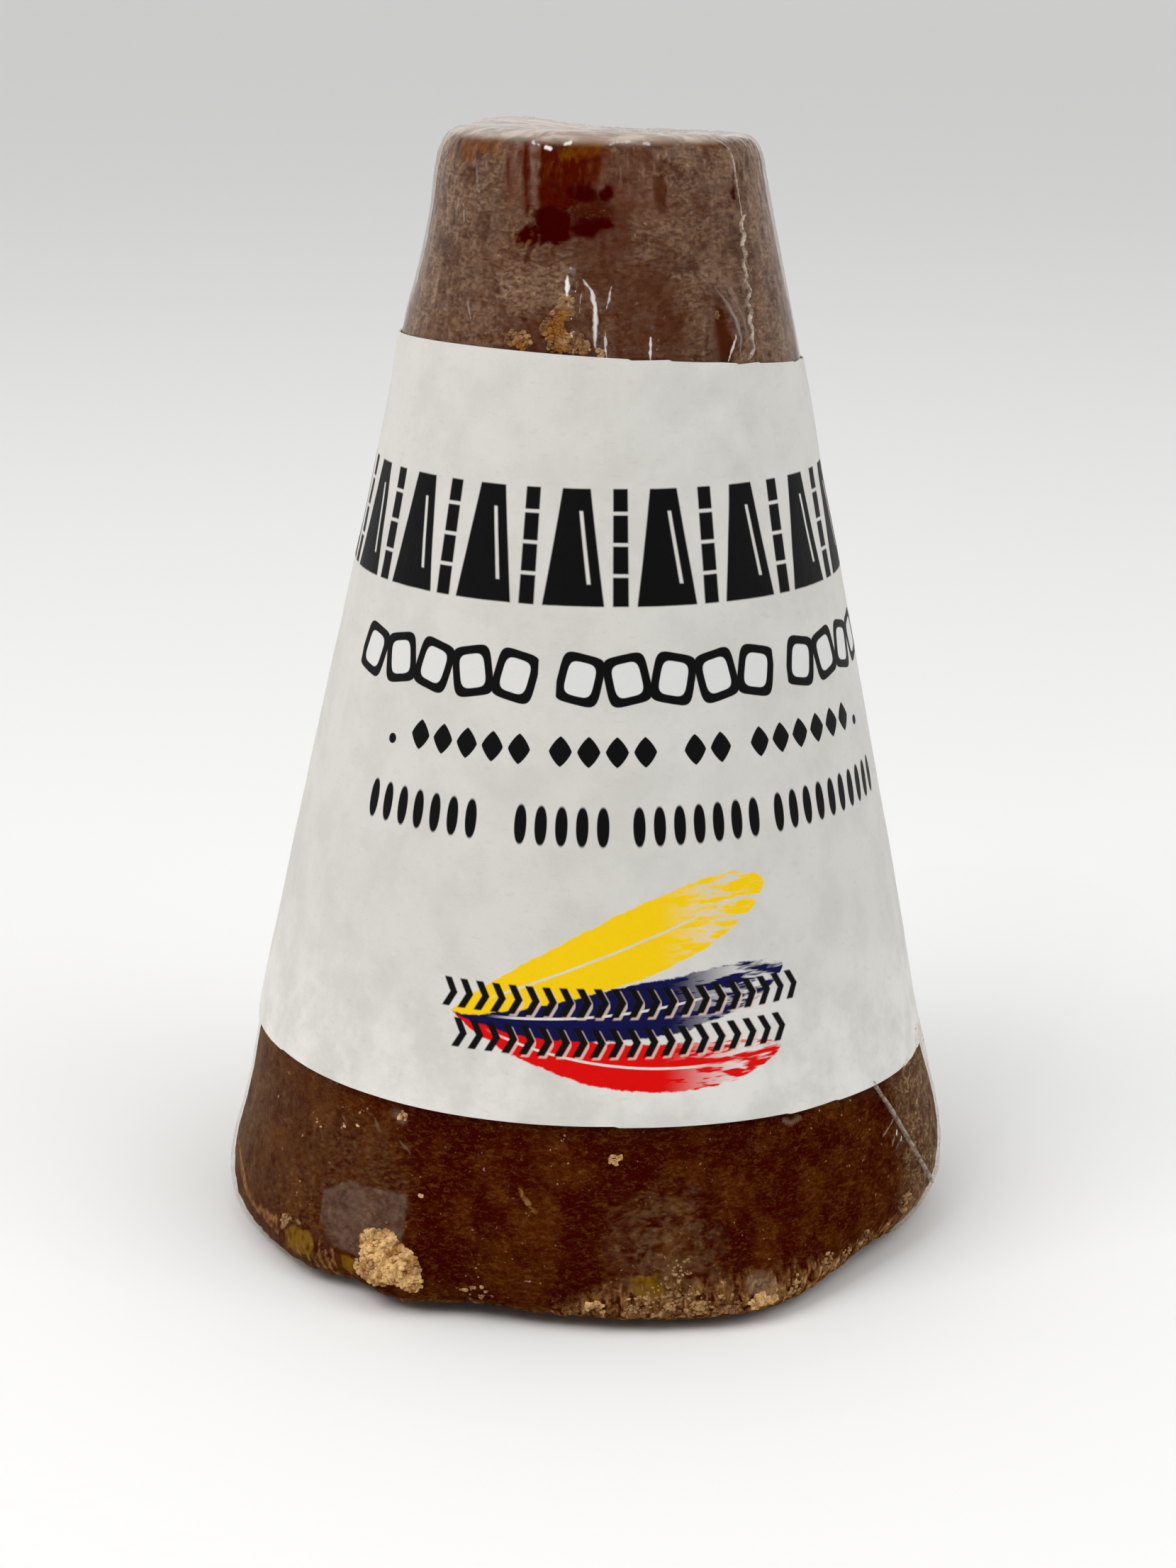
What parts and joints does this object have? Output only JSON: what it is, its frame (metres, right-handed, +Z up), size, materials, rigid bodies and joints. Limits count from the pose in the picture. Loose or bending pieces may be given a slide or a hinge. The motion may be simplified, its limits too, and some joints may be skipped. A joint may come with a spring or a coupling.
{
  "type": "wrapped piloncillo sugar cone",
  "caption": "Truncated cone of hard brown cane sugar with a chipped lower edge, shrink-wrapped in clear film, with an off-white paper label round its wall.",
  "frame": {"origin": "middle of the cone's foot, on the surface it stands on", "axes": "+Z up along the cone's axis; -Y is the shown side, the front of the label, and the film's welded edge runs down the wall between -Y and +X"},
  "size_m": [0.0619, 0.0614, 0.0905],
  "materials": {
    "film_wrapped_sugar": "gloss",
    "label_paper": "matte"
  },
  "bodies": {
    "root": {"film_wrapped_cone": "film_wrapped_sugar", "paper_label": "label_paper"}
  },
  "joints": []
}
